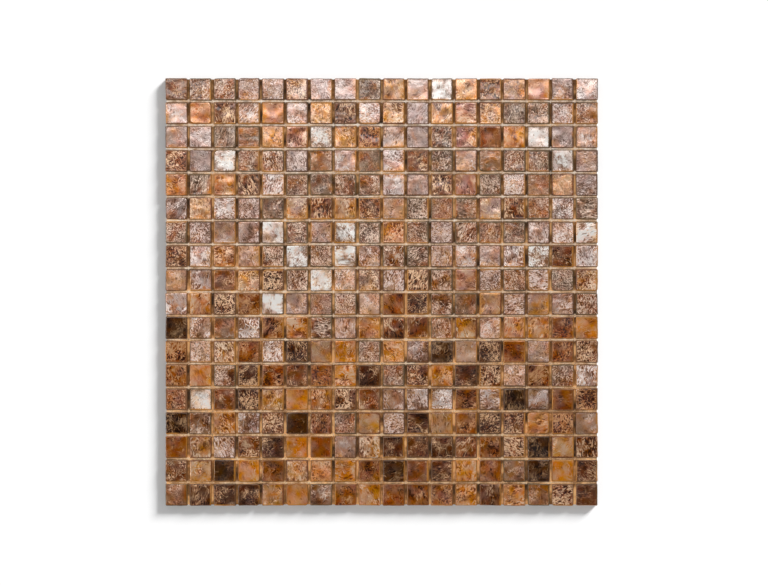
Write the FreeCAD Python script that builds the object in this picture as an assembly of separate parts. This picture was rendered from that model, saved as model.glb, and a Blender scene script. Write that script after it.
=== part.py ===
"""Glass mosaic sheet: cushion-edged tesserae in a mixed blend, laid on an open yarn net, with filled joints.

Millimetres. The origin is the centre of the sheet at the underside of the net.
+X runs along the rows, +Y up the columns and +Z out of the glass face.
"""

import FreeCAD, Part
import os
import random

# Grid of the sheet
columns = 18
rows = 18
column_joint = 1.6  # gap between neighbours in a row
row_joint = 1.4  # gap between one row and the next

# One tessera, cut from rolled glass slab
tessera_side = 15.0
tessera_thickness = 4.0
cushion = 0.8  # bevel that eases the four edges of the face
cut_scatter = 0.2  # each corner lies up to this far off the true square, along X and along Y
thickness_scatter = 0.12  # the slab is up to this much thicker or thinner

# Joint filling, which stops short of the glass face and of the ends of the outer joints
joint_recess = 1.1
joint_setback = 0.6

# Backing net of flat glass yarns: warp yarns run along Y, and the weft lies on them along X
yarn_width = 0.9
yarn_thickness = 0.2
net_pitch = 5.0
net_margin = 1.0  # the yarns end this far inside the outer tesserae

# Worked out from the sizes above
column_pitch = tessera_side + column_joint
row_pitch = tessera_side + row_joint
sheet_length = columns * column_pitch - column_joint
sheet_width = rows * row_pitch - row_joint
net_length = sheet_length - 2 * net_margin
net_width = sheet_width - 2 * net_margin
bed_level = 2 * yarn_thickness  # top of the net, where the glass is bonded
fill_height = tessera_thickness - joint_recess

# The blend: each glass with its weight in the first row, at -Y, in the middle, and in the last row, at +Y.
# The weights in between change evenly from row to row.
BLEND = {
    "rose_tiles": (2, 24, 24),
    "taupe_tiles": (8, 26, 20),
    "blush_tiles": (1, 13, 20),
    "silver_tiles": (0, 5, 10),
    "copper_tiles": (9, 13, 10),
    "amber_tiles": (19, 10, 9),
    "bronze_tiles": (18, 6, 5),
    "chestnut_tiles": (17, 2, 2),
    "umber_tiles": (19, 1, 0),
    "ember_tiles": (7, 0, 0),
}
BLEND_SEED = 914
CUT_SEED = 7


def weight_in_row(stated, row):
    """Weight of a glass in one row, between the three rows for which it is stated."""
    place = 2 * row / max(rows - 1, 1)
    stretch = min(int(place), 1)
    return stated[stretch] + (stated[stretch + 1] - stated[stretch]) * (place - stretch)


def shuffled_blend():
    """The name of the glass at each (column, row), drawn by the row's weights."""
    draw = random.Random(BLEND_SEED)
    glass_at = {}
    for row in range(rows):
        weights = [weight_in_row(stated, row) for stated in BLEND.values()]
        for column in range(columns):
            glass_at[column, row] = draw.choices(list(BLEND), weights)[0]
    return glass_at


def cut_corners(column, row, dice):
    """The four corners of one tessera at the bed, anticlockwise, each a little off the true square."""
    centre_x = (column - (columns - 1) / 2) * column_pitch
    centre_y = (row - (rows - 1) / 2) * row_pitch
    half = tessera_side / 2
    corners = []
    for side_x, side_y in ((-1, -1), (1, -1), (1, 1), (-1, 1)):
        x = centre_x + side_x * half + dice.uniform(-cut_scatter, cut_scatter)
        y = centre_y + side_y * half + dice.uniform(-cut_scatter, cut_scatter)
        corners.append(FreeCAD.Vector(x, y, bed_level))
    return corners


def prism(corners, height):
    """A straight-sided block on an outline."""
    return Part.Face(Part.makePolygon(corners + corners[:1])).extrude(FreeCAD.Vector(0, 0, height))


def tessera(corners, thickness):
    """One piece of glass: straight cut sides, and a face whose four edges are eased."""
    block = prism(corners, thickness)
    face_level = bed_level + thickness
    face_edges = [edge for edge in block.Edges if all(abs(v.Z - face_level) < 1e-6 for v in edge.Vertexes)]
    return block.makeChamfer(cushion, face_edges)


def joint_filling(outlines):
    """One grid that fills the joints, cut out round every tessera so that it seats against the glass."""
    length = sheet_length - 2 * joint_setback
    width = sheet_width - 2 * joint_setback
    corner = FreeCAD.Vector(-length / 2, -width / 2, bed_level)
    slab = Part.makeBox(length, width, fill_height, corner)
    return slab.cut([prism(corners, fill_height) for corners in outlines])


def yarn_places(span):
    """Where parallel yarns lie across a span: one in the middle, and as many on each side as fit."""
    beside = int((span - yarn_width) / 2 / net_pitch)
    return [number * net_pitch for number in range(-beside, beside + 1)]


def warp_yarns():
    """The lower yarns of the net, along Y."""
    yarns = []
    for x in yarn_places(net_length):
        corner = FreeCAD.Vector(x - yarn_width / 2, -net_width / 2, 0)
        yarns.append(Part.makeBox(yarn_width, net_width, yarn_thickness, corner))
    return yarns


def weft_yarns():
    """The upper yarns of the net, along X, which lie on the warp and carry the glass."""
    yarns = []
    for y in yarn_places(net_width):
        corner = FreeCAD.Vector(-net_length / 2, y - yarn_width / 2, yarn_thickness)
        yarns.append(Part.makeBox(net_length, yarn_width, yarn_thickness, corner))
    return yarns


def save(name, solids):
    """Writes one node, as one solid or as several that don't touch."""
    shape = solids[0] if len(solids) == 1 else Part.makeCompound(solids)
    shape.exportStep(os.path.join("parts", name + ".step"))
    print(name, len(solids), "solids,", round(shape.Volume), "mm3, valid:", shape.isValid())


def main():
    os.makedirs("parts", exist_ok=True)
    dice = random.Random(CUT_SEED)
    glass_at = shuffled_blend()
    tesserae = {name: [] for name in BLEND}
    outlines = []
    for (column, row), name in glass_at.items():
        corners = cut_corners(column, row, dice)
        thickness = tessera_thickness + dice.uniform(-thickness_scatter, thickness_scatter)
        outlines.append(corners)
        tesserae[name].append(tessera(corners, thickness))
    for name, solids in tesserae.items():
        save(name, solids)
    save("joint_grout", joint_filling(outlines).Solids)
    save("net_warp", warp_yarns())
    save("net_weft", weft_yarns())


main()
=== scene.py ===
"""Looks of the glass mosaic sheet: iridised glass tesserae, a wiped cement filling and a net of glass yarn.

Metres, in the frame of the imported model: +X along the rows, +Y up the columns, +Z out of the glass face.
Sizes that are easier to read in millimetres are written as a number times MM.
"""

import math
import random

import bmesh
import bpy
from mathutils import Matrix, Vector, noise


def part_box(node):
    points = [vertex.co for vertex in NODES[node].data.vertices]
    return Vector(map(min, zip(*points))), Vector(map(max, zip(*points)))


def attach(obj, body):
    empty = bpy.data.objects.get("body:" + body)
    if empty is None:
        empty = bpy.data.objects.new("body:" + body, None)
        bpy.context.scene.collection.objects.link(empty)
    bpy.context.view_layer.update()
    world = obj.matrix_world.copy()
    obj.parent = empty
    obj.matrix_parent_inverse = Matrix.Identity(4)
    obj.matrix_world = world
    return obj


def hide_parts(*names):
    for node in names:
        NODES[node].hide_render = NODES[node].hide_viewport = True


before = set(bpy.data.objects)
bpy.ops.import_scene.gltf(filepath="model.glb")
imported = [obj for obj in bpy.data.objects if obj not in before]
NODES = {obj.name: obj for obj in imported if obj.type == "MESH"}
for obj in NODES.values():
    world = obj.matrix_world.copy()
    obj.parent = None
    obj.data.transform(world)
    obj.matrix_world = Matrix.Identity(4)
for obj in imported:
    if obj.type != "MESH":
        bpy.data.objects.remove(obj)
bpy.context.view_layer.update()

MM = 0.001
WELD = 0.002 * MM  # points closer than this are one

# Face of a tessera
FACE_CELLS = 26  # cells along each side of the gridded face
CROWDING = 1.4  # over 1, the cells get narrower towards the rim
RIM_RUN = 0.9 * MM  # how far in from the edge the rounded rim starts
RIM_DROP = 0.8 * MM  # how far the rim comes down before the straight side
EDGE_WAVER = 0.16 * MM  # how far the cut edge wanders
EDGE_WAVE = 4.0 * MM  # and over what length
SHARP_CORNER = 0.8 * MM  # usual radius of a tessera's corners
BLUNT_CORNER = 2.0 * MM  # and that of the few that are nibbled rounder
SHARP_SHARE = 0.88  # share of the tesserae with the sharper corners
HAND_WORK = (0.5, 1.4)  # least and most of a size that the hand gives, as a share of the usual one
TILT = 0.3 * MM  # how far the lowest corner of a face can lie below the highest
SWELL_WAVE = 7.0  # mm, length of the slow waves of the face
PATCH = 6.5  # mm, size of the crinkled and the smooth patches of a face
PATCH_EDGE = (0.32, 0.68)  # where a smooth patch ends and where full crinkle is reached
ROUGHENED = 0.4  # how much more or less crinkled a tessera can be than its glass is as a rule
TURNS = (0, 0, 90, 180)  # degrees, the ways in which the figure of a tessera can lie
TURN_SCATTER = 20  # degrees off those
FIGURE_REACH = 400  # mm, each figure starts at a place up to this far off in the noise
STREAKY_POWER = 0.7  # under 1, so that most tesserae are more streaky than not
RELIEF_SEED = 11
BAND = 8 * MM  # those of one glass get their draws in bands of this height, each from left to right

# Film on that face
FACE_MARKS = ("rim", "lit", "furrow", "crinkled", "streak", "bold")  # what each point tells the film
# The bare rims are wider on the right and at the top, partly as painted shade there
BARE_RIM = {"right": 0.95, "bottom": 0.7, "left": 0.6, "top": 0.8}  # mm of rim that the film leaves bare
# Rims that let light in get a painted glow, in LIT_BODY and in a warmer tint beside them
LIT_RIM = {"right": 0.45, "bottom": 0.5, "left": 0.35, "top": 0.1}  # share of the rims that let light in
LIT_BODY = "#b4762b"  # painted glow of the glass at a rim that lets light in
BOLDNESS = (0.45, 1.45)  # least and most painted light and shade of the film from one tessera to the next
BOLDER_END = 0.34  # how much bolder it is over the middle and towards the dark end of the blend
BOLDER_SPAN = (30 * MM, 110 * MM)  # it sets in between these places along Y
CALM_ROWS = 0.28  # and how much calmer in the last rows of that end
CALM_SPAN = (-115 * MM, -90 * MM)  # which sets in between these
MID_TONE = 0.53  # the tone about which the film gets lighter and darker
DARK_LEAN = 0.7  # how far the film leans to its warm tint at the dark end of the blend
PALE_LEAN = -0.25  # and at the pale end
LEAN_SPAN = (-130 * MM, 120 * MM)  # the lean changes between these places along Y
SWIRL_WAVE = 4.5  # mm, the slow swirl that bends its figure
CLOUD_WAVE = 11.0  # mm, the clouds that make it lighter and darker
HUE_WAVE = 7.0  # mm, the shifts of its hue and strength
SHEEN_WAVE = 9.0  # mm, its slow painted sheen and shade
PEARL_WAVE = 6.5  # mm, its pearly patches, partly painted sheen
PIT_PITCH = 1.6  # mm, the size of the cells of which some hold a pit
# Folds are painted: a highlight along the crest with a line of shade beside it
FOLD_MM = 5.0  # spacing of the long folds in the film
FOLDED_WAVE = 4.0  # mm, the patches that have folds
FOLD_PROFILE = [(0.0, "#ffffff"), (0.035, "#bcbcbc"), (0.06, "#505050"), (0.12, "#bcbcbc")]  # across a fold
FOLD_LEVEL = 0.503  # the grey of that profile where there is no fold

# Joint filling
SAME_LINE = 5 * MM  # tesserae whose middles are closer than this lie in one row or column
JOINT_POINTS = 12  # points along each side of a tessera where the filling meets it
FILL_CLIMB = 0.16 * MM  # how far the filling climbs the glass
FILL_SAG = 0.10 * MM  # how far it hollows midway between
FILL_WANDER = 0.09 * MM  # how uneven its top is
FILL_WAVE = 3.5 * MM  # and over what length
FILL_TUCK = 0.12 * MM  # the filling's edge lies this far inside the glass, so that no gap shows
COLUMN_DEPTH = 1.1 * MM  # how much deeper the joints between columns are wiped out
ROW_STRIP = 0.75 * MM  # half the width of the fuller strip along a row joint
STRIP_FALL = 0.9 * MM  # length of the fall from that strip into a column joint
CREST_WANDER = 0.5 * MM  # how far the pale line in a row joint wanders from its middle
CREST_WAVE = 7.0 * MM  # and over what length
PALE_SPAN = 110 * MM  # it turns from tan to pale from this far below the sheet's middle to as far above

# Net
YARN_SIDES = 6  # corners of a yarn's section
YARN_STEPS = 118  # sections along a yarn
YARN_WAVER = 0.12 * MM  # how far a yarn wanders sideways
YARN_WAVE = 9 * MM  # and over what length
YARN_PINCH = 0.18  # how much narrower a yarn is between its crossings
NET_PITCH = 5.0 * MM  # spacing of the crossings
SIDE_STEP = 0.05 * MM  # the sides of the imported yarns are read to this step

# Light of the room at its walls and overhead
WALL_LIGHT = 1.0
CEILING_LIGHT = 0.0


def linear(code):
    """An sRGB hex colour as linear red, green, blue and alpha."""
    channels = [int(code[place:place + 2], 16) / 255 for place in (1, 3, 5)]
    return [c / 12.92 if c <= 0.04045 else ((c + 0.055) / 1.055) ** 2.4 for c in channels] + [1.0]


def set_stops(color_ramp, stops):
    """Gives a colour ramp its stops, each a position and a colour."""
    elements = color_ramp.elements
    while len(elements) < len(stops):
        elements.new(1.0)
    for element, (position, code) in zip(elements, stops):
        element.position = position
        element.color = linear(code)


def add(tree, kind, inputs=None, stops=None, **settings):
    """Adds a node. Each input is a number, a colour, or a socket to link from, under its name or its place.

    A Mix takes its share at 0, numbers at 2 and 3, vectors at 4 and 5, and colours at 6 and 7. It gives
    them at 0, 1 and 2. A MapRange takes a value at 0, the range it comes from at 1 and 2, and the range it
    goes to at 3 and 4.
    """
    node = tree.nodes.new("ShaderNode" + kind)
    for name, value in settings.items():
        setattr(node, name, value)
    if stops:
        set_stops(node.color_ramp, stops)
    for key, value in (inputs or {}).items():
        if isinstance(value, bpy.types.NodeSocket):
            tree.links.new(value, node.inputs[key])
        else:
            node.inputs[key].default_value = value
    return node


def new_material(name):
    """An empty material and its node tree."""
    material = bpy.data.materials.new(name)
    material.use_nodes = True
    material.node_tree.nodes.clear()
    return material, material.node_tree


def finish_material(tree, shader):
    """Links a shader to the material's output."""
    add(tree, "OutputMaterial", {"Surface": shader.outputs[0]})


def smoothstep(low, high, value):
    """0 below low, 1 above high, and an even S between."""
    share = min(max((value - low) / (high - low), 0.0), 1.0)
    return share * share * (3 - 2 * share)


def crowd(share):
    """Moves a place between -1 and 1 nearer to the end that it is on."""
    return math.copysign(1 - (1 - abs(share)) ** CROWDING, share)


def kept_mesh(bm, name):
    """Writes a bmesh to a new mesh and frees it."""
    mesh = bpy.data.meshes.new(name)
    bm.to_mesh(mesh)
    bm.free()
    return mesh


def piece_of(bm, name, node, material):
    """Makes a finished piece from a bmesh. It stands for a CAD node and rides on the one body."""
    mesh = kept_mesh(bm, name)
    mesh.materials.append(material)
    piece = bpy.data.objects.new(name, mesh)
    bpy.context.scene.collection.objects.link(piece)
    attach(piece, "root")
    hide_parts(node)
    return piece


class Tessera:
    """One piece of glass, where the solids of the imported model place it."""

    def __init__(self, corners, face_level, dice):
        self.corners = corners
        self.bed = corners[0].z
        self.face_level = face_level
        self.middle = sum(corners, Vector()) / 4
        self.half = (corners[2] - corners[0]).length / math.sqrt(8)
        rounding = SHARP_CORNER if dice.random() < SHARP_SHARE else BLUNT_CORNER
        self.rounding = [rounding * dice.uniform(*HAND_WORK) for corner in corners]
        self.slope = (dice.uniform(-1, 1), dice.uniform(-1, 1))
        self.turn = dice.choice(TURNS) + dice.gauss(0, TURN_SCATTER)
        self.offset = Vector([dice.uniform(-FIGURE_REACH, FIGURE_REACH) for axis in range(3)])
        self.cast = Vector([dice.random() for axis in range(3)])  # how light, how warm, how clear or pearly
        self.cast.y += DARK_LEAN + (PALE_LEAN - DARK_LEAN) * smoothstep(*LEAN_SPAN, self.middle.y)
        self.streaky = dice.random() ** STREAKY_POWER
        self.bold = dice.uniform(*BOLDNESS)
        self.bold *= 1 + BOLDER_END * (1 - smoothstep(*BOLDER_SPAN, self.middle.y))
        self.bold *= 1 - CALM_ROWS * (1 - smoothstep(*CALM_SPAN, self.middle.y))
        self.roughened = dice.uniform(-ROUGHENED, ROUGHENED)
        self.bare = {side: width * dice.uniform(*HAND_WORK) for side, width in BARE_RIM.items()}
        self.lit = {side: float(dice.random() < share) for side, share in LIT_RIM.items()}

    def outline(self, s, t, tuck=0.0):
        """The place on the face of a point s, t, each from -1 to 1, and how far in from the edge it lies."""
        from_edge = [self.half * (1 - abs(share)) + tuck for share in (s, t)]
        depth = min(from_edge)
        corner = (0 if s < 0 else 1) if t < 0 else (3 if s < 0 else 2)
        radius = self.rounding[corner]
        if max(from_edge) < radius:
            in_x, in_y = radius - from_edge[0], radius - from_edge[1]
            pull = max(in_x, in_y) / max(math.hypot(in_x, in_y), 1e-9)
            from_edge = [radius - in_x * pull, radius - in_y * pull]
        a = math.copysign(1 - from_edge[0] / self.half, s)
        b = math.copysign(1 - from_edge[1] / self.half, t)
        low = self.corners[0].lerp(self.corners[1], (a + 1) / 2)
        high = self.corners[3].lerp(self.corners[2], (a + 1) / 2)
        place = low.lerp(high, (b + 1) / 2)
        fade = max(0.0, 1 - depth / (2 * RIM_RUN))
        waver = noise.noise_vector(place / EDGE_WAVE + self.offset) * EDGE_WAVER * fade
        return Vector((place.x + waver.x, place.y + waver.y, self.bed)), depth

    def bareness(self, s, t):
        """How far in from the nearest side, in widths of its bare rim, and 1 if it has a painted glow."""
        sides = {"right": 1 - s, "left": 1 + s, "top": 1 - t, "bottom": 1 + t}
        return min((inside * self.half / MM / self.bare[side], self.lit[side])
                   for side, inside in sides.items())

    def lean(self, s, t):
        """How far a tilted face lies below its highest corner."""
        a, b = self.slope
        return TILT * (abs(a) + abs(b) - s * a - t * b) / 4

    def grain(self, place):
        """Texture coordinates in millimetres, turned and shifted so that each tessera has its own figure."""
        local = (place - self.middle) / MM
        angle = math.radians(self.turn)
        x = local.x * math.cos(angle) - local.y * math.sin(angle)
        y = local.x * math.sin(angle) + local.y * math.cos(angle)
        return Vector((x, y, local.z)) + self.offset

    def crinkle(self, spot, share):
        """1 where the face is crinkled and 0 where it is smooth, in soft-edged patches."""
        patch = noise.noise(spot / PATCH) + 0.4 * noise.noise(spot / PATCH * 2.7)
        return smoothstep(*PATCH_EDGE, share + self.roughened + 0.75 * patch)


def tesserae_of(node, dice):
    """The tesserae of one CAD node, row by row."""
    bm = bmesh.new()
    bm.from_mesh(NODES[node].data)
    bmesh.ops.remove_doubles(bm, verts=bm.verts, dist=WELD)
    seen = set()
    solids = []
    for start in bm.verts:
        if start in seen:
            continue
        seen.add(start)
        solid = [start]
        for vert in solid:  # the list grows as neighbours are found
            for edge in vert.link_edges:
                other = edge.other_vert(vert)
                if other not in seen:
                    seen.add(other)
                    solid.append(other)
        solids.append([vert.co.copy() for vert in solid])
    bm.free()
    found = []
    for points in solids:
        middle = sum(points, Vector()) / len(points)
        bed = min(point.z for point in points)
        corners = [point for point in points if point.z < bed + WELD]
        corners.sort(key=lambda point: math.atan2(point.y - middle.y, point.x - middle.x))
        found.append((corners, max(point.z for point in points)))
    found.sort(key=lambda item: (round(item[0][0].y / BAND), item[0][0].x))
    return [Tessera(corners, level, dice) for corners, level in found]


def tessera_blank():
    """A gridded face, with its edge drawn down into sides and closed below, on a square from -1 to 1."""
    bm = bmesh.new()
    bmesh.ops.create_grid(bm, x_segments=FACE_CELLS, y_segments=FACE_CELLS, size=1)
    for face in bm.faces:
        face.smooth = True
    rim = [edge for edge in bm.edges if edge.is_boundary]
    sides = bmesh.ops.extrude_edge_only(bm, edges=rim)["geom"]
    low = [item for item in sides if isinstance(item, bmesh.types.BMVert)]
    bmesh.ops.translate(bm, verts=low, vec=(0, 0, -1))
    bmesh.ops.contextual_create(bm, geom=[edge for edge in bm.edges if edge.is_boundary])
    for vert in bm.verts:
        vert.co.x = crowd(vert.co.x)
        vert.co.y = crowd(vert.co.y)
    bmesh.ops.recalc_face_normals(bm, faces=bm.faces)
    return kept_mesh(bm, "tessera blank")


def crumple(spot, recipe, streaky):
    """Depth of the rolled figure at a spot of the glass, from 0 on a ridge to 1 in a furrow."""
    long = 1 + recipe["stretch"] * streaky  # how many times longer than wide the figure is
    point = Vector((spot.x, spot.y / long, spot.z)) / recipe["wrinkle_mm"]
    bent = point + noise.noise_vector(point * 0.5) * 0.8  # so that no ridge runs straight
    ridge = noise.ridged_multi_fractal(bent, 1.0, 2.1, 3, 1.0, 2.0, noise_basis="BLENDER")
    wave = noise.noise(point * 0.35 + Vector((7, 3, 1)))  # broad waves under the ridges
    return min(max(0.75 - 0.4 * ridge + 0.35 * wave, 0.0), 1.0)


def glass_piece(node, tesserae, recipe, material):
    """All the tesserae of one glass as one mesh, each with its own figure, tilt and attributes."""
    blank = tessera_blank()
    marks = [(vert.co.x, vert.co.y, vert.co.z < 0) for vert in blank.vertices]
    bm = bmesh.new()
    layers = bm.verts.layers
    grain = layers.float_vector.new("grain")
    cast = layers.float_vector.new("cast")
    rim, lit, furrow, crinkled, streak, bold = [layers.float.new(mark) for mark in FACE_MARKS]
    for tessera in tesserae:
        first = len(bm.verts)
        bm.from_mesh(blank)
        bm.verts.ensure_lookup_table()
        for vert, (s, t, is_low) in zip(bm.verts[first:], marks):
            place, depth = tessera.outline(s, t)
            vert[cast] = tessera.cast
            vert[streak] = tessera.streaky
            vert[bold] = tessera.bold
            vert[furrow] = 0.5
            if not is_low:
                spot = tessera.grain(place)
                rough = tessera.crinkle(spot, recipe["crinkled"])
                deep = crumple(spot, recipe, tessera.streaky)
                swell = 0.5 + 0.5 * noise.noise(spot / SWELL_WAVE + Vector((3, 9, 5)))
                inward = max(0.0, 1 - depth / RIM_RUN)
                drop = RIM_DROP * (1 - math.sqrt(max(0.0, 1 - inward ** 2)))
                relief = (deep * recipe["relief_mm"] * rough + swell * recipe["swell_mm"]) * MM
                place.z = tessera.face_level - drop - tessera.lean(s, t) - relief * (1 - inward)
                vert[rim], vert[lit] = tessera.bareness(s, t)
                vert[furrow] = deep
                vert[crinkled] = rough
            vert.co = place
            vert[grain] = tessera.grain(place)
    bpy.data.meshes.remove(blank)
    return piece_of(bm, node + "_glass", node, material)


def glass_material(name, recipe):
    """Rolled glass with a film of metal oxides fired onto its face.

    The film is pearly and marbles from a cool to a warm tint. Where the glass was rolled rough, it is
    crumpled like foil. It stops short of the edge, so that the glass shows there in its own darker or
    clearer colour. Light and shade on its creases, facets and folds, its glints, a slow sheen, part of its
    pearly patches and a glow at rims that let light in are painted into its colour.
    """
    material, tree = new_material(name)
    grain = add(tree, "Attribute", attribute_name="grain").outputs["Vector"]
    cast = add(tree, "Attribute", attribute_name="cast").outputs["Vector"]
    cast = add(tree, "SeparateXYZ", {0: cast}).outputs
    rim, lit, furrow, crinkled, streak, bold = [
        add(tree, "Attribute", attribute_name=mark).outputs["Fac"] for mark in FACE_MARKS]

    # Coordinates bent by a slow swirl, and drawn out along one direction on the streaky tesserae
    swirl = add(tree, "TexNoise", {"Vector": grain, "Scale": 1 / SWIRL_WAVE, "Detail": 2.0}).outputs["Color"]
    centred = add(tree, "VectorMath", {0: swirl, 1: (0.5, 0.5, 0.5)}, operation="SUBTRACT").outputs[0]
    bent = add(tree, "VectorMath", {0: centred, 1: (recipe["swirl_mm"],) * 3, 2: grain},
               operation="MULTIPLY_ADD").outputs[0]
    drawn = add(tree, "VectorMath", {0: bent, 1: (1.0, 1 / (1 + recipe["stretch"]), 1.0)},
                operation="MULTIPLY").outputs[0]
    spot = add(tree, "Mix", {0: streak, 4: bent, 5: drawn}, data_type="VECTOR").outputs[1]

    # Creases of the crumpled foil: a net of sharp ridges with hollows between them
    creases = add(tree, "TexNoise", {"Vector": spot, "Scale": 1.0 / recipe["wrinkle_mm"], "Detail": 2.0,
                                     "Roughness": 0.6, "Lacunarity": 2.1, "Offset": 1.0, "Gain": 2.0,
                                     "Distortion": 0.3}, noise_type="RIDGED_MULTIFRACTAL").outputs[0]
    crease_tone = add(tree, "MapRange", {0: creases, 1: 0.65, 2: 1.65}).outputs[0]

    # The film's tint. It marbles over a few millimetres, frays along the creases, and leans one way or the
    # other from piece to piece. Slow clouds make it lighter and darker.
    marbling = add(tree, "TexNoise", {"Vector": spot, "Scale": 1 / recipe["marble_mm"], "Detail": 2.0,
                                      "Roughness": 0.5, "Distortion": 0.5}).outputs[0]
    frayed = add(tree, "Mix", {0: 0.1, 2: marbling, 3: crease_tone}).outputs[0]
    frayed = add(tree, "MapRange", {0: frayed, 3: 0.5 - recipe["marbled"] / 2,
                                    4: 0.5 + recipe["marbled"] / 2}).outputs[0]
    leaning = add(tree, "Math", {0: cast[1], 1: 0.25, 2: frayed}, operation="MULTIPLY_ADD").outputs[0]
    clouds = add(tree, "TexNoise", {"Vector": grain, "Scale": 1 / CLOUD_WAVE, "Detail": 1.0}).outputs[0]
    cloudy = add(tree, "MapRange", {0: clouds, 1: 0.3, 2: 0.7, 3: 1 - recipe["cloudy"],
                                    4: 1 + recipe["cloudy"]}).outputs[0]
    value = add(tree, "MapRange", {0: cast[0], 3: 1 - recipe["variety"],
                                   4: 1 + recipe["variety"]}).outputs[0]
    value = add(tree, "Math", {0: value, 1: cloudy}, operation="MULTIPLY").outputs[0]

    # Where the glass is clear at its rim, a painted glow stands for the light that comes in from the side:
    # it warms the tint beside it
    cleared = add(tree, "Math", {0: clouds, 1: 0.6, 2: cast[2]}, operation="MULTIPLY_ADD").outputs[0]
    clear = add(tree, "MapRange", {0: cleared, 1: 0.98 - recipe["clear"],
                                   2: 1.08 - recipe["clear"]}).outputs[0]
    clear = add(tree, "Math", {0: clear, 1: lit}, operation="MULTIPLY").outputs[0]
    glow = add(tree, "MapRange", {0: rim, 1: 1.0, 2: 5.5, 3: 0.36, 4: 0.0}).outputs[0]
    glow = add(tree, "Math", {0: glow, 1: clear, 2: leaning}, operation="MULTIPLY_ADD").outputs[0]
    tint = add(tree, "ValToRGB", {0: glow},
               stops=[(0.46, recipe["cool"]), (0.60, recipe["main"]), (0.76, recipe["warm"])]).outputs[0]
    shifts = add(tree, "TexNoise", {"Vector": grain, "Scale": 1 / HUE_WAVE, "Detail": 1.0}).outputs["Color"]
    shifts = add(tree, "SeparateXYZ", {0: shifts}).outputs
    hue = add(tree, "MapRange", {0: shifts[0], 1: 0.3, 2: 0.7, 3: 0.49, 4: 0.508}).outputs[0]
    strength = add(tree, "MapRange", {0: shifts[1], 1: 0.3, 2: 0.7, 3: 0.8, 4: 1.15}).outputs[0]
    tint = add(tree, "HueSaturation", {"Hue": hue, "Saturation": strength, "Value": value,
                                       "Color": tint}).outputs[0]

    # The foil's painted light and shade: creases, and small facets that are each painted lighter or darker
    # as if they caught the light their own way. Where the face is smooth they are faint.
    # A slow painted sheen and shade also lighten and darken the film across the face.
    cells = add(tree, "TexVoronoi", {"Vector": spot, "Scale": 1 / recipe["facet_mm"]}, feature="F1").outputs
    facet_tone = add(tree, "SeparateXYZ", {0: cells["Color"]}).outputs["X"]
    fine = add(tree, "Mix", {0: recipe["faceted"], 2: crease_tone, 3: facet_tone}).outputs[0]
    creased = add(tree, "MapRange", {0: crinkled, 3: 0.25, 4: 1.0}).outputs[0]
    fine = add(tree, "Mix", {0: creased, 2: MID_TONE, 3: fine}).outputs[0]
    # The mesh's ridges are painted lighter and its furrows darker
    ridge = add(tree, "Math", {0: 1.0, 1: furrow}, operation="SUBTRACT").outputs[0]
    tone = add(tree, "Mix", {0: 0.2, 2: fine, 3: ridge}).outputs[0]
    # Slow painted sheen and shade across the face
    slow_sheen_and_shade = add(tree, "TexNoise", {"Vector": bent, "Scale": 1 / SHEEN_WAVE, "Detail": 1.0}).outputs[0]
    slow_sheen_and_shade = add(tree, "MapRange", {0: slow_sheen_and_shade, 1: 0.3, 2: 0.7, 3: -recipe["uneven"],
                                       4: recipe["uneven"]}).outputs[0]
    tone = add(tree, "Math", {0: tone, 1: slow_sheen_and_shade}, operation="ADD").outputs[0]

    # Long folds here and there, painted: a highlight along the crest with a line of shade beside it
    fold_net = add(tree, "TexVoronoi", {"Vector": spot, "Scale": 1 / FOLD_MM},
                   feature="DISTANCE_TO_EDGE").outputs[0]
    fold = add(tree, "ValToRGB", {0: fold_net}, stops=FOLD_PROFILE).outputs[0]
    fold = add(tree, "Math", {0: fold, 1: FOLD_LEVEL}, operation="SUBTRACT").outputs[0]
    folded = add(tree, "TexNoise", {"Vector": grain, "Scale": 1 / FOLDED_WAVE, "Detail": 1.0}).outputs[0]
    folded = add(tree, "MapRange", {0: folded, 1: 0.45, 2: 0.6, 3: 0.0, 4: recipe["folds"]}).outputs[0]
    tone = add(tree, "Math", {0: fold, 1: folded, 2: tone}, operation="MULTIPLY_ADD").outputs[0]
    tone = add(tree, "Math", {0: tone, 1: MID_TONE}, operation="SUBTRACT").outputs[0]
    punch = add(tree, "Math", {0: bold, 1: recipe["punch"]}, operation="MULTIPLY").outputs[0]
    tone = add(tree, "Math", {0: tone, 1: punch, 2: MID_TONE}, operation="MULTIPLY_ADD").outputs[0]
    # Painted shade in the furrows, the tint darkened by the furrow colour; above the glint tone, a painted
    # highlight in the ridge colour
    furrow_shade = add(tree, "Mix", {0: 1.0, 6: tint, 7: linear(recipe["furrow"])}, data_type="RGBA",
               blend_type="MULTIPLY").outputs[2]
    below = add(tree, "MapRange", {0: tone, 1: 0.2 + recipe["deep"], 2: MID_TONE}).outputs[0]
    above = add(tree, "MapRange", {0: tone, 1: recipe["glint"], 2: recipe["glint"] + 0.26}).outputs[0]
    shaded = add(tree, "Mix", {0: below, 6: furrow_shade, 7: tint}, data_type="RGBA").outputs[2]
    film = add(tree, "Mix", {0: above, 6: shaded, 7: linear(recipe["ridge"])}, data_type="RGBA").outputs[2]

    # Pearly patches, where the film is thickest, in the ridge colour; in part a painted sheen
    thickness = add(tree, "TexNoise", {"Vector": bent, "Scale": 1 / PEARL_WAVE, "Detail": 4.0,
                                       "Roughness": 0.65}).outputs[0]
    thickness = add(tree, "Math", {0: cast[2], 1: 0.14, 2: thickness}, operation="MULTIPLY_ADD").outputs[0]
    pearly = add(tree, "MapRange", {0: thickness, 1: 0.80 - recipe["pearl"],
                                    2: 0.87 - recipe["pearl"]}).outputs[0]
    speckled = add(tree, "MapRange", {0: facet_tone, 3: 0.3, 4: 1.0}).outputs[0]
    pearly = add(tree, "Math", {0: pearly, 1: speckled}, operation="MULTIPLY").outputs[0]
    inner = add(tree, "MapRange", {0: rim, 1: 1.5, 2: 5.0}).outputs[0]
    pearly = add(tree, "Math", {0: pearly, 1: inner}, operation="MULTIPLY").outputs[0]
    film = add(tree, "Mix", {0: pearly, 6: film, 7: linear(recipe["ridge"])}, data_type="RGBA").outputs[2]

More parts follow.
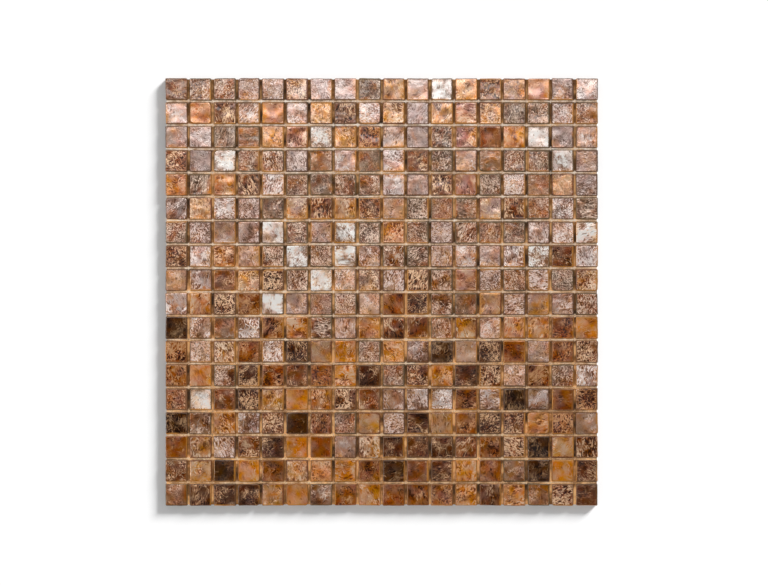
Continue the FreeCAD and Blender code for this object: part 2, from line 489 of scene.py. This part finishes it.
    # A few pits where a bubble broke through the film
    pores = add(tree, "TexVoronoi", {"Vector": spot, "Scale": 1 / PIT_PITCH}, feature="F1").outputs
    chosen = add(tree, "SeparateXYZ", {0: pores["Color"]}).outputs["Y"]
    is_pit = add(tree, "Math", {0: chosen, 1: 1 - recipe["pitted"]}, operation="GREATER_THAN").outputs[0]
    near = add(tree, "MapRange", {0: pores["Distance"], 1: 0.2, 2: 0.38, 3: 0.8, 4: 0.0}).outputs[0]
    pit = add(tree, "Math", {0: is_pit, 1: near}, operation="MULTIPLY").outputs[0]
    film = add(tree, "Mix", {0: pit, 6: film, 7: furrow_shade}, data_type="RGBA").outputs[2]

    # The bare glass along the rim, where the film stops with a ragged edge. At a rim that lets light in, the
    # brighter glass colour is a painted glow.
    ragged = add(tree, "Math", {0: crease_tone, 1: 0.5, 2: rim}, operation="MULTIPLY_ADD").outputs[0]
    bare = add(tree, "MapRange", {0: ragged, 1: 0.9, 2: 1.7, 3: 1.0, 4: 0.0},
               interpolation_type="SMOOTHSTEP").outputs[0]
    body = add(tree, "Mix", {0: clear, 6: linear(recipe["body"]), 7: linear(LIT_BODY)},
               data_type="RGBA").outputs[2]
    body = add(tree, "HueSaturation", {"Value": cloudy, "Color": body}).outputs[0]
    color = add(tree, "Mix", {0: bare, 6: film, 7: body}, data_type="RGBA").outputs[2]

    # Soda-lime glass under a coat of oxides that reflects more than it does
    height = add(tree, "Mix", {0: 0.5, 2: crease_tone, 3: cells["Distance"]}).outputs[0]
    strength = add(tree, "MapRange", {0: crinkled, 3: recipe["bump"] * 0.15, 4: recipe["bump"]}).outputs[0]
    bump = add(tree, "Bump", {"Strength": strength, "Distance": 0.3 * MM, "Height": height}).outputs[0]
    metallic = add(tree, "MapRange", {0: bare, 3: recipe["metallic"], 4: 0.0}).outputs[0]
    roughness = add(tree, "MapRange", {0: crinkled, 3: recipe["roughness"],
                                       4: recipe["roughness"] + 0.12}).outputs[0]
    coat = add(tree, "MapRange", {0: bare, 3: recipe["coat"], 4: 0.15}).outputs[0]
    shader = add(tree, "BsdfPrincipled", {
        "Base Color": color, "Metallic": metallic, "Roughness": roughness, "Normal": bump,
        "IOR": 1.52, "Coat Weight": coat, "Coat Roughness": 0.1, "Coat IOR": 1.7})
    finish_material(tree, shader)
    return material


# How the two kinds of face are rolled and coated: sizes in mm, and shares from 0 to 1. A streaky figure is
# up to 1 + stretch times as long as wide. relief_mm and swell_mm are the depths of the crinkles and of the
# slow waves in the mesh. deep is how soon a furrow is painted fully dark, glint the tone where a painted
# highlight starts, and punch the strength of both. The furrow colour darkens the tint as painted shade.
# variety sets one tessera of the glass off from the next, and cloudy and uneven one part of a face from
# another; uneven does so with a slow painted sheen and shade.
CRINKLED = {"crinkled": 0.62, "wrinkle_mm": 0.9, "facet_mm": 0.7, "faceted": 0.36, "stretch": 3.5,
            "swirl_mm": 3.5, "marble_mm": 7.0, "relief_mm": 0.20, "swell_mm": 0.42, "bump": 0.7,
            "metallic": 0.45, "roughness": 0.26, "coat": 0.6, "pitted": 0.1, "deep": 0.04,
            "furrow": "#8b7259", "clear": 0.2, "pearl": 0.05, "variety": 0.1, "cloudy": 0.17,
            "uneven": 0.14, "folds": 0.6, "glint": 0.57, "marbled": 0.75, "punch": 1.0}
SMOOTH = {**CRINKLED, "crinkled": 0.3, "wrinkle_mm": 1.4, "faceted": 0.25, "stretch": 4.0, "swirl_mm": 5.0,
          "relief_mm": 0.14, "bump": 0.5, "metallic": 0.3, "roughness": 0.2, "coat": 0.8}
# What the dark glasses change in either
DARK = {"deep": 0.06, "uneven": 0.16, "marble_mm": 5.0, "glint": 0.61, "punch": 1.12, "furrow": "#6c5a48"}

# Each glass: the colour of its body, the cool, main and warm tints of its film, and the colour of its
# painted highlights on the ridges, which its pearly patches also take
GLASS = {
    "rose_tiles": {**CRINKLED, "crinkled": 0.55, "body": "#6a4428",
                   "cool": "#b79a8f", "main": "#c2937b", "warm": "#cf976d", "ridge": "#ecd4ca"},
    "taupe_tiles": {**CRINKLED, "crinkled": 0.8, "deep": 0.08, "glint": 0.6, "body": "#6a4f2c",
                    "cool": "#97775f", "main": "#a8704b", "warm": "#b47443", "ridge": "#f0d2bc"},
    "blush_tiles": {**CRINKLED, "crinkled": 0.5, "clear": 0.6, "pearl": 0.15, "pitted": 0.2,
                    "body": "#7a5230",
                    "cool": "#cfb2a9", "main": "#d5a894", "warm": "#e5ac84", "ridge": "#fbebe3"},
    "silver_tiles": {**CRINKLED, "crinkled": 0.5, "metallic": 0.15, "roughness": 0.2, "pitted": 0.3,
                     "clear": 0.5, "pearl": 0.25, "uneven": 0.32, "glint": 0.5, "body": "#7a5c3c",
                     "cool": "#f4dbd0", "main": "#f9d6c4", "warm": "#fcd0ac", "ridge": "#fffaf4"},
    "copper_tiles": {**CRINKLED, "crinkled": 0.5, "wrinkle_mm": 1.3, "clear": 0.6, "pearl": 0.08,
                     "body": "#7a4520",
                     "cool": "#c59e91", "main": "#cf9569", "warm": "#e29c57", "ridge": "#f6d6b8"},
    "amber_tiles": {**SMOOTH, "uneven": 0.16, "marbled": 0.3, "clear": 0.8, "pearl": 0.07, "body": "#9a6022",
                    "cool": "#c88f80", "main": "#da8c5a", "warm": "#e8923c", "ridge": "#f4cba8"},
    "bronze_tiles": {**CRINKLED, **DARK, "wrinkle_mm": 1.3, "clear": 0.3, "body": "#7a4e28",
                     "cool": "#85563a", "main": "#905228", "warm": "#9d5928", "ridge": "#f4caa2"},
    "chestnut_tiles": {**SMOOTH, **DARK, "clear": 0.5, "body": "#845122",
                       "cool": "#834f37", "main": "#964f24", "warm": "#ad6126", "ridge": "#e0a876"},
    "umber_tiles": {**CRINKLED, **DARK, "crinkled": 0.55, "stretch": 4.0, "pearl": 0.0, "body": "#664222",
                    "cool": "#653d2c", "main": "#69391a", "warm": "#76401b", "ridge": "#e6b88c"},
    "ember_tiles": {**SMOOTH, **DARK, "stretch": 5.0, "pearl": 0.0, "body": "#543620",
                    "cool": "#402b1b", "main": "#462a12", "warm": "#5c3512", "ridge": "#b68e68"},
}


def midlines(values, low, high):
    """Lines midway between neighbouring rows or columns of middles, and the filling's ends round them."""
    groups = [[values[0]]]
    for before, value in zip(values, values[1:]):
        if value - before > SAME_LINE:
            groups.append([])
        groups[-1].append(value)
    means = [sum(group) / len(group) for group in groups]
    return [low] + [(a + b) / 2 for a, b in zip(means, means[1:])] + [high]


def collar_blank():
    """Two rings round an opening. Loop 0 is the opening and loop 2 the outside. z holds minus the loop."""
    bm = bmesh.new()
    bmesh.ops.create_circle(bm, segments=4 * JOINT_POINTS, radius=1, cap_ends=False)
    loop = bm.edges[:]
    for ring in (1, 2):
        grown = bmesh.ops.extrude_edge_only(bm, edges=loop)["geom"]
        verts = [item for item in grown if isinstance(item, bmesh.types.BMVert)]
        loop = [edge for edge in grown if isinstance(edge, bmesh.types.BMEdge) and edge.is_boundary]
        bmesh.ops.translate(bm, verts=verts, vec=(0, 0, -1))
    return kept_mesh(bm, "collar blank")


def on_square(angle):
    """The point of a square from -1 to 1 that lies at an angle round it, crowded towards the corners."""
    side, along = divmod(angle / (math.pi / 2) + 0.5, 1)
    share = crowd(2 * along - 1)
    return ((1, share), (-share, 1), (-1, -share), (share, -1))[int(side) % 4]


def beyond_ends(face, low, high):
    """True for a face that lies along one of the outer edges, where the filling stops."""
    for axis in (0, 1):
        for end in (low[axis], high[axis]):
            if all(abs(vert.co[axis] - end) < WELD for vert in face.verts):
                return True
    return False


def filling_piece(tesserae, material):
    """The joint filling: a collar round each tessera, joined to its neighbours, given depth and hollowed.

    It stands fuller along the rows, and the joints between the columns are wiped out deeper.
    """
    node = "joint_grout"
    low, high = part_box(node)
    column_lines = midlines(sorted(tessera.middle.x for tessera in tesserae), low.x, high.x)
    row_lines = midlines(sorted(tessera.middle.y for tessera in tesserae), low.y, high.y)
    blank = collar_blank()
    marks = [(*on_square(math.atan2(vert.co.y, vert.co.x)), round(-vert.co.z)) for vert in blank.vertices]
    bm = bmesh.new()
    loop_of = bm.verts.layers.int.new("loop")
    wiped = bm.verts.layers.float.new("wiped")  # 1 in the joints between columns and 0 along the rows
    crest = bm.verts.layers.float.new("crest")  # 0 at the glass and 1 midway between two tesserae
    for tessera in tesserae:
        left = max(line for line in column_lines if line < tessera.middle.x)
        right = min(line for line in column_lines if line > tessera.middle.x)
        lower = max(line for line in row_lines if line < tessera.middle.y)
        upper = min(line for line in row_lines if line > tessera.middle.y)
        first = len(bm.verts)
        bm.from_mesh(blank)
        bm.verts.ensure_lookup_table()
        for vert, (s, t, loop) in zip(bm.verts[first:], marks):
            inner = tessera.outline(s, t, FILL_TUCK)[0]
            inner.x = min(max(inner.x, low.x), high.x)
            inner.y = min(max(inner.y, low.y), high.y)
            outer = Vector(((left + right) / 2 + s * (right - left) / 2,
                            (lower + upper) / 2 + t * (upper - lower) / 2, low.z))
            vert.co = inner.lerp(outer, loop / 2)
            vert[loop_of] = loop
    bpy.data.meshes.remove(blank)
    ends = [face for face in bm.faces if beyond_ends(face, low, high)]
    bmesh.ops.delete(bm, geom=ends, context="FACES")
    bmesh.ops.remove_doubles(bm, verts=bm.verts, dist=WELD)
    bmesh.ops.dissolve_degenerate(bm, edges=bm.edges, dist=WELD)
    for vert in bm.verts:
        away = min(abs(vert.co.y - line) for line in row_lines[1:-1])
        vert[wiped] = smoothstep(ROW_STRIP, ROW_STRIP + STRIP_FALL, away)
        vert[crest] = vert[loop_of] / 2
        if vert[loop_of] == 2 and not vert.is_boundary:
            vert.co.y += CREST_WANDER * noise.noise(vert.co / CREST_WAVE)
    raised = bmesh.ops.extrude_face_region(bm, geom=bm.faces[:], use_keep_orig=True)["geom"]
    for vert in [item for item in raised if isinstance(item, bmesh.types.BMVert)]:
        hollow = (FILL_CLIMB, -0.6 * FILL_SAG, -FILL_SAG)[vert[loop_of]]  # from the glass to midway
        wander = FILL_WANDER * noise.noise(vert.co / FILL_WAVE)
        vert.co.z = high.z - COLUMN_DEPTH * vert[wiped] + hollow + wander
    for vert in bm.verts:
        if vert.co.z < low.z + WELD:
            vert[crest] = 0.0  # only the top takes the pale colour, the rest the painted shade
    bmesh.ops.recalc_face_normals(bm, faces=bm.faces)
    return piece_of(bm, "joint_filling", node, material)


def cement_filling():
    """Cement filling, tinted cream and wiped with a sponge.

    It is matt and sandy. Along the rows its crest is pale, browner towards the dark end of the sheet.
    Against the glass, and in the deeper joints between columns, it is painted a mottled dark brown as
    shade, lighter towards the dark end of the sheet.
    """
    material, tree = new_material("Cream cement filling, sponge wiped")
    spot = add(tree, "TexCoord").outputs["Object"]
    wiped = add(tree, "Attribute", attribute_name="wiped").outputs["Fac"]
    crest = add(tree, "Attribute", attribute_name="crest").outputs["Fac"]
    grit = add(tree, "TexNoise", {"Vector": spot, "Scale": 1 / (0.5 * MM), "Detail": 3.0}).outputs[0]
    stain = add(tree, "TexNoise", {"Vector": spot, "Scale": 1 / (9 * MM), "Detail": 3.0}).outputs[0]
    tone = add(tree, "Mix", {0: 0.5, 2: grit, 3: stain}).outputs[0]
    pale = add(tree, "ValToRGB", {0: tone},
               stops=[(0.39, "#c09d7e"), (0.5, "#f2d9bf"), (0.61, "#fff6ea")]).outputs[0]
    tan = add(tree, "ValToRGB", {0: tone},
              stops=[(0.39, "#99693e"), (0.5, "#deb182"), (0.61, "#fbdfb8")]).outputs[0]
    # Painted shade: a mottled dark brown in the deep joints between columns and against the glass, lighter
    # towards the dark end of the sheet
    shade_mottle = add(tree, "TexNoise", {"Vector": spot, "Scale": 1 / (14 * MM), "Detail": 4.0,
                                  "Roughness": 0.6}).outputs[0]
    painted_joint_shade = add(tree, "ValToRGB", {0: shade_mottle},
                 stops=[(0.36, "#3c2816"), (0.5, "#8a5e34"), (0.62, "#dcaa72")]).outputs[0]
    up = add(tree, "SeparateXYZ", {0: spot}).outputs["Y"]
    share = add(tree, "MapRange", {0: up, 1: -PALE_SPAN, 2: PALE_SPAN}).outputs[0]
    shade_lift = add(tree, "MapRange", {0: share, 3: 1.9, 4: 1.2}).outputs[0]
    painted_joint_shade = add(tree, "HueSaturation", {"Value": shade_lift, "Color": painted_joint_shade}).outputs[0]
    along_rows = add(tree, "Mix", {0: share, 6: tan, 7: pale}, data_type="RGBA").outputs[2]
    crest_jitter = add(tree, "TexNoise", {"Vector": spot, "Scale": 1 / (3 * MM), "Detail": 3.0}).outputs[0]
    crest_jitter = add(tree, "MapRange", {0: crest_jitter, 1: 0.35, 2: 0.65, 3: -0.3, 4: 0.3}).outputs[0]
    crest = add(tree, "Math", {0: crest, 1: crest_jitter}, operation="ADD").outputs[0]
    on_crest = add(tree, "MapRange", {0: crest, 1: 0.3, 2: 0.8, 3: 0.15, 4: 1.0}).outputs[0]
    # The pale colour only on the crest along the rows; the rest gets the painted shade
    bright = add(tree, "MapRange", {0: wiped, 3: 1.0, 4: 0.0}).outputs[0]
    bright = add(tree, "Math", {0: bright, 1: on_crest}, operation="MULTIPLY").outputs[0]
    color = add(tree, "Mix", {0: bright, 6: painted_joint_shade, 7: along_rows}, data_type="RGBA").outputs[2]
    bump = add(tree, "Bump", {"Strength": 0.6, "Distance": 0.1 * MM, "Height": grit}).outputs[0]
    shader = add(tree, "BsdfPrincipled", {"Base Color": color, "Roughness": 0.85, "Normal": bump})
    finish_material(tree, shader)
    return material


def yarn_blank():
    """A straight length of flat yarn along X from -1 to 1, with a lens-shaped section from -1 to 1."""
    bm = bmesh.new()
    bmesh.ops.create_circle(bm, segments=YARN_SIDES, radius=1, cap_ends=True)
    bmesh.ops.rotate(bm, verts=bm.verts, matrix=Matrix.Rotation(math.radians(90), 3, "Y"))
    bmesh.ops.translate(bm, verts=bm.verts, vec=(-1, 0, 0))
    bmesh.ops.spin(bm, geom=bm.faces[:], cent=(0, 0, 0), axis=(1, 0, 0), angle=0, steps=YARN_STEPS,
                   dvec=(2 / YARN_STEPS, 0, 0))
    bmesh.ops.recalc_face_normals(bm, faces=bm.faces)
    return kept_mesh(bm, "yarn blank")


def net_piece(node, along, material):
    """One layer of the net: flat yarns that wander a little and pinch between their crossings."""
    across = 1 - along
    bm = bmesh.new()
    bm.from_mesh(NODES[node].data)
    places = sorted({round(vert.co[across] / SIDE_STEP) for vert in bm.verts})
    bm.clear()
    low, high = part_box(node)
    edges = [place * SIDE_STEP for place in places]
    blank = yarn_blank()
    marks = [vert.co.copy() for vert in blank.vertices]
    for near, far in zip(edges[::2], edges[1::2]):
        first = len(bm.verts)
        bm.from_mesh(blank)
        bm.verts.ensure_lookup_table()
        for vert, mark in zip(bm.verts[first:], marks):
            run = (low[along] + high[along]) / 2 + mark.x * (high[along] - low[along]) / 2
            crossing = math.cos(2 * math.pi * run / NET_PITCH)
            width = (far - near) / 2 * (1 - YARN_PINCH * (0.5 - 0.5 * crossing))
            wander = YARN_WAVER * noise.noise(Vector((run, near, 0)) / YARN_WAVE)
            vert.co[along] = run
            vert.co[across] = (near + far) / 2 + mark.y * width + wander
            vert.co.z = (low.z + high.z) / 2 + mark.z * (high.z - low.z) / 2
    for face in bm.faces:
        face.smooth = True
    bmesh.ops.recalc_face_normals(bm, faces=bm.faces)
    bpy.data.meshes.remove(blank)
    return piece_of(bm, node + "_yarns", node, material)


def glass_yarn():
    """Glass-fibre yarn in an acrylic coat: off-white, with the filaments showing as fine lines."""
    material, tree = new_material("Glass-fibre yarn, acrylic coated")
    spot = add(tree, "TexCoord").outputs["Object"]
    twist = add(tree, "TexNoise", {"Vector": spot, "Scale": 1 / (0.6 * MM), "Detail": 3.0}).outputs[0]
    color = add(tree, "ValToRGB", {0: twist}, stops=[(0.3, "#cfcdc4"), (0.7, "#f0eee8")]).outputs[0]
    bump = add(tree, "Bump", {"Strength": 0.4, "Distance": 0.05 * MM, "Height": twist}).outputs[0]
    shader = add(tree, "BsdfPrincipled", {"Base Color": color, "Roughness": 0.45, "Normal": bump})
    finish_material(tree, shader)
    return material


def towards(azimuth, elevation, distance):
    """A place seen from the sheet's middle at an azimuth and elevation in degrees."""
    a, e = math.radians(azimuth), math.radians(elevation)
    return Vector((math.cos(a) * math.cos(e), math.sin(a) * math.cos(e), math.sin(e))) * distance


def lamp(name, kind, place, energy, receivers, **settings):
    """A lamp that faces the sheet's middle and lights only the objects of one collection."""
    data = bpy.data.lights.new(name, kind)
    data.energy = energy
    for key, value in settings.items():
        setattr(data, key, value)
    obj = bpy.data.objects.new(name, data)
    bpy.context.scene.collection.objects.link(obj)
    obj.location = place
    obj.rotation_euler = (-place).to_track_quat("-Z", "Y").to_euler()
    obj.light_linking.receiver_collection = receivers


def white_floor():
    """A large white card under the sheet."""
    bm = bmesh.new()
    bmesh.ops.create_grid(bm, x_segments=1, y_segments=1, size=3)
    mesh = kept_mesh(bm, "floor")
    material, tree = new_material("White card")
    finish_material(tree, add(tree, "BsdfDiffuse", {"Color": linear("#ececec")}))
    mesh.materials.append(material)
    floor = bpy.data.objects.new("floor", mesh)
    bpy.context.scene.collection.objects.link(floor)
    return floor


def studio_world():
    """A room that is white round the floor and dim overhead."""
    world = bpy.data.worlds.new("studio")
    bpy.context.scene.world = world
    world.use_nodes = True
    tree = world.node_tree
    tree.nodes.clear()
    up = add(tree, "SeparateXYZ", {0: add(tree, "TexCoord").outputs["Generated"]}).outputs["Z"]
    strength = add(tree, "MapRange", {0: up, 3: WALL_LIGHT, 4: CEILING_LIGHT}).outputs[0]
    room = add(tree, "Background", {"Color": (1, 1, 1, 1), "Strength": strength})
    add(tree, "OutputWorld", {"Surface": room.outputs[0]})


def stage(pieces):
    """The floor, the room, the lamps, and the camera straight above the sheet."""
    scene = bpy.context.scene
    scene.view_settings.view_transform = "Standard"
    ground = bpy.data.collections.new("ground")
    ground.objects.link(white_floor())
    sheet = bpy.data.collections.new("sheet")
    for piece in pieces:
        sheet.objects.link(piece)
    studio_world()
    lamp("shadow sun", "SUN", towards(45, 17.5, 2), 7.6, ground, angle=math.radians(18))
    lamp("floor fill", "SUN", towards(0, 90, 2), 0.62, ground)
    lamp("north box", "AREA", towards(90, 65, 1.6), 12.0, sheet, shape="RECTANGLE", size=1.5, size_y=0.8)
    lamp("left strip", "AREA", towards(180, 32, 1.3), 5.0, sheet, shape="RECTANGLE", size=0.8, size_y=0.3)

    camera_data = bpy.data.cameras.new("camera")
    camera_data.lens = 100
    camera_data.sensor_width = 36
    camera_data.clip_end = 20
    camera = bpy.data.objects.new("camera", camera_data)
    scene.collection.objects.link(camera)
    camera.location = (1.57 * MM, -0.4 * MM, 1.4707)  # looks straight down
    scene.camera = camera


def build():
    """The whole sheet, piece by piece."""
    dice = random.Random(RELIEF_SEED)
    noise.seed_set(RELIEF_SEED)  # noise vectors would otherwise differ from one run to the next
    tesserae = []
    pieces = []
    for node, recipe in GLASS.items():
        material = glass_material(node.replace("_tiles", " rolled glass, iridised"), recipe)
        kind = tesserae_of(node, dice)
        tesserae += kind
        pieces.append(glass_piece(node, kind, recipe, material))
    pieces.append(filling_piece(tesserae, cement_filling()))
    yarn = glass_yarn()
    pieces.append(net_piece("net_warp", 1, yarn))
    pieces.append(net_piece("net_weft", 0, yarn))
    return pieces


stage(build())
